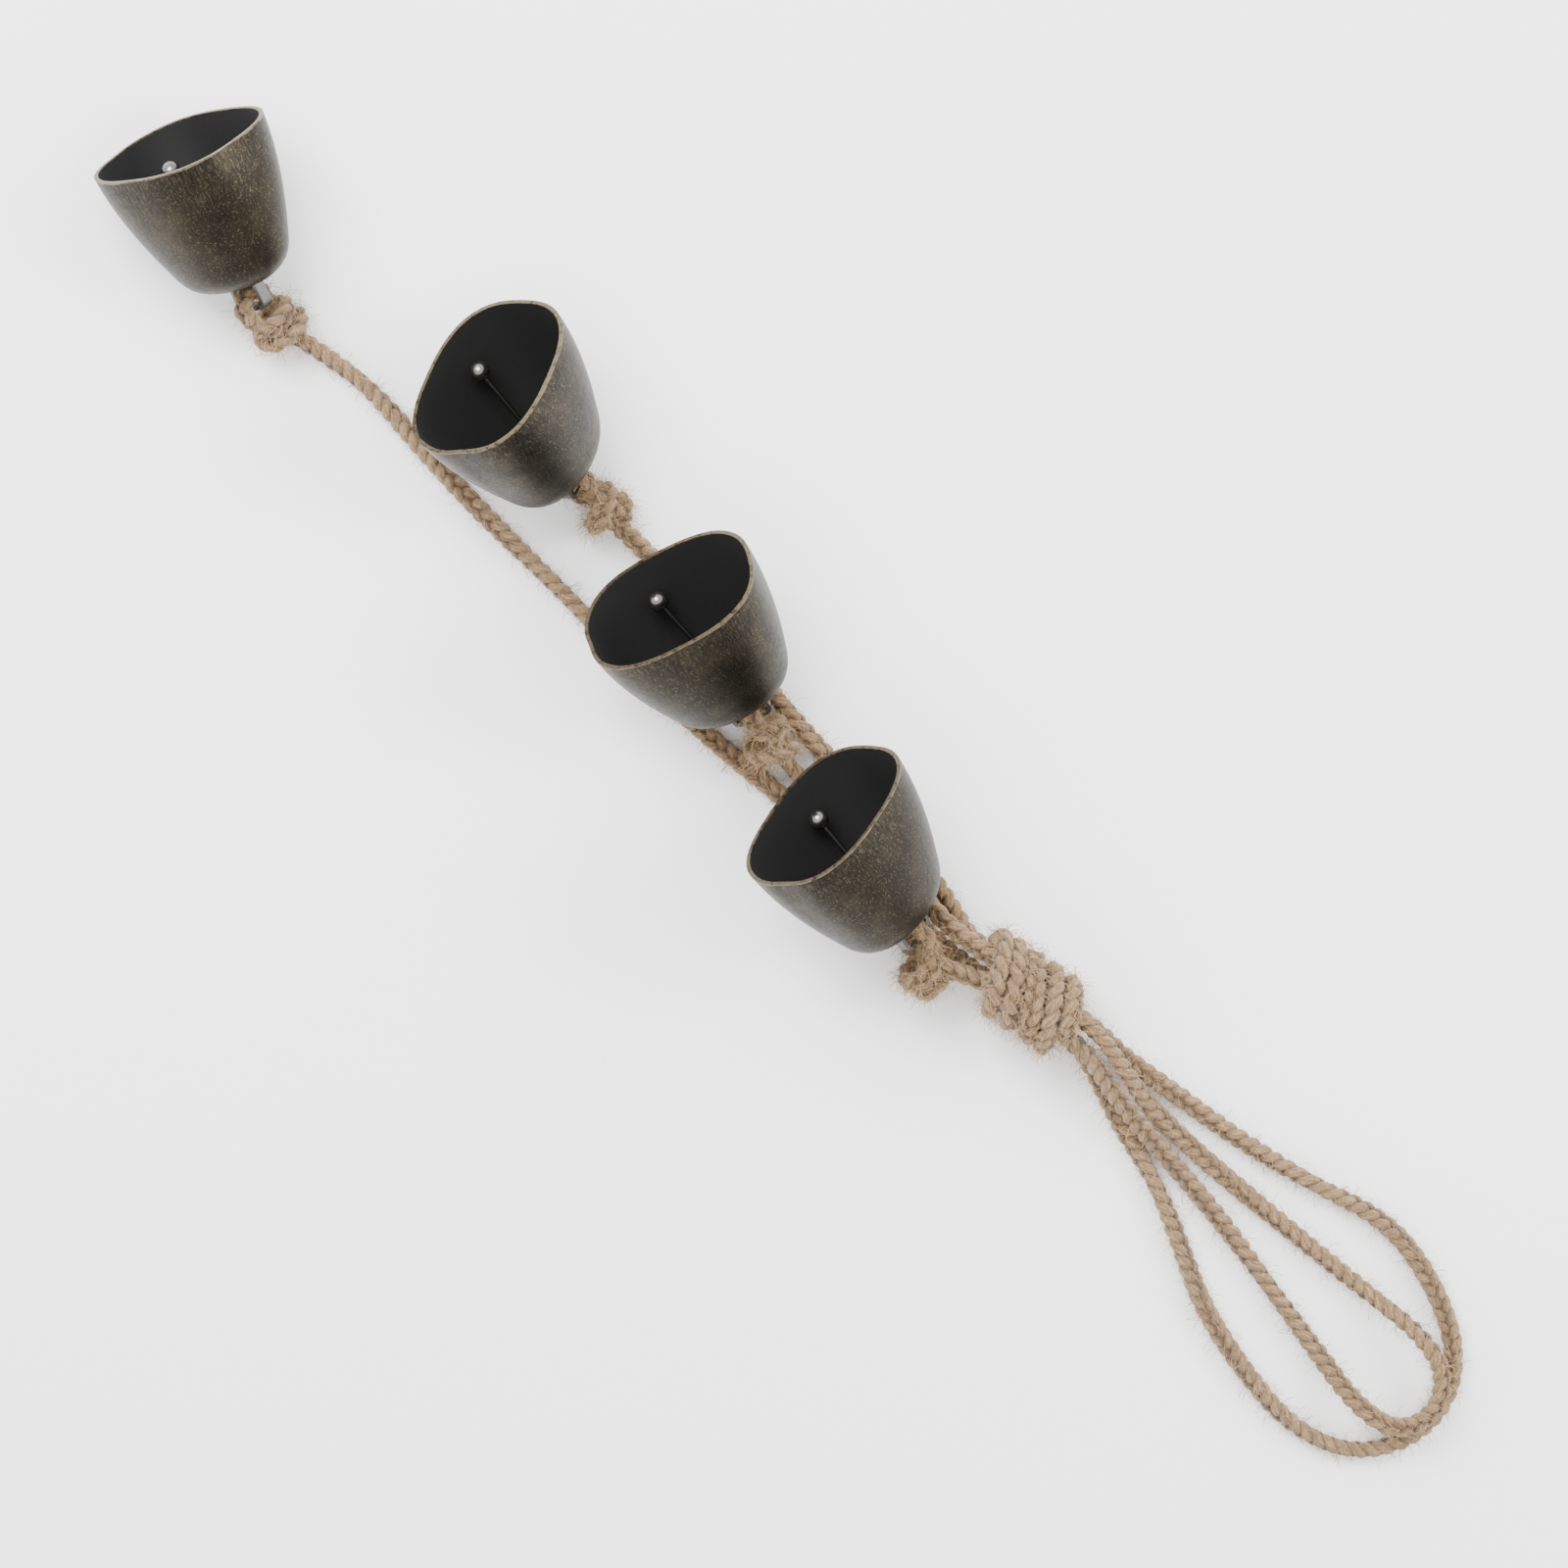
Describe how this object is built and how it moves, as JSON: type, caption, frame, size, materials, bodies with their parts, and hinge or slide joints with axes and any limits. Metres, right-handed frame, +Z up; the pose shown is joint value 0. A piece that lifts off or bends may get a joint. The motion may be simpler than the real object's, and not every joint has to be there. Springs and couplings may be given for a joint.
{
  "type": "bell string",
  "caption": "Hanging string of oval sheet-metal bells in an antique bronze finish, each with a clapper, tied to plaited jute rope.",
  "frame": {"origin": "on the surface that the string lies on, at z = 0, under the middle of the box round the four bells with their bails", "axes": "+X along the row of bells towards the hanging loops, +Y across the row, +Z up from the surface"},
  "size_m": [0.3752, 0.0561, 0.0436],
  "materials": {
    "bell_metal": "antique bronze, brushed, worn bright at the rim",
    "strap_metal": "darkened strap with worn edges",
    "clapper_steel": "dull polished",
    "jute_rope": "plaited natural jute, fuzzy"
  },
  "bodies": {
    "strands": {"rope_outer": "jute_rope", "rope_inner": "jute_rope", "bell_knot_1": "jute_rope", "bell_knot_2": "jute_rope", "bell_knot_3": "jute_rope", "bell_knot_4": "jute_rope", "gathering_wrap": "jute_rope"},
    "bell_1": {"bell_shell_1": "bell_metal", "bail_1": "strap_metal"},
    "clapper_1": {"clapper_1": "clapper_steel"},
    "bell_2": {"bell_shell_2": "bell_metal", "bail_2": "strap_metal"},
    "clapper_2": {"clapper_2": "clapper_steel"},
    "bell_3": {"bell_shell_3": "bell_metal", "bail_3": "strap_metal"},
    "clapper_3": {"clapper_3": "clapper_steel"},
    "bell_4": {"bell_shell_4": "bell_metal", "bail_4": "strap_metal"},
    "clapper_4": {"clapper_4": "clapper_steel"}
  },
  "joints": [
    {"name": "bell_swing_1", "type": "hinge", "parent": "strands", "child": "bell_1", "pos_m": [-0.07216, -0.01545, 0.00952], "axis": [0.4126, 0.4953, 0.7645], "range_deg": [0, 38]},
    {"name": "clapper_swing_1", "type": "hinge", "parent": "bell_1", "child": "clapper_1", "pos_m": [-0.08076, -0.01241, 0.01219], "axis": [0.4126, 0.4953, 0.7645], "range_deg": [0, 30]},
    {"name": "bell_swing_2", "type": "hinge", "parent": "strands", "child": "bell_2", "pos_m": [-0.00126, 0.00505, 0.00618], "axis": [-0.3094, 0.8348, -0.4553], "range_deg": [0, 38]},
    {"name": "clapper_swing_2", "type": "hinge", "parent": "bell_2", "child": "clapper_2", "pos_m": [-0.00858, 0.00563, 0.01221], "axis": [-0.3094, 0.8348, -0.4553], "range_deg": [0, 50]},
    {"name": "bell_swing_3", "type": "hinge", "parent": "strands", "child": "bell_3", "pos_m": [0.05734, -0.00285, 0.00748], "axis": [0.2937, 0.9284, 0.2277], "range_deg": [0, 38]},
    {"name": "clapper_swing_3", "type": "hinge", "parent": "bell_3", "child": "clapper_3", "pos_m": [0.04962, -0.00174, 0.0129], "axis": [0.2937, 0.9284, 0.2277], "range_deg": [0, 50]},
    {"name": "bell_swing_4", "type": "hinge", "parent": "strands", "child": "bell_4", "pos_m": [0.11244, -0.01115, 0.01048], "axis": [-0.1252, 0.8844, -0.4497], "range_deg": [0, 32]},
    {"name": "clapper_swing_4", "type": "hinge", "parent": "bell_4", "child": "clapper_4", "pos_m": [0.10406, -0.01012, 0.01484], "axis": [-0.1252, 0.8844, -0.4497], "range_deg": [0, 50]}
  ]
}
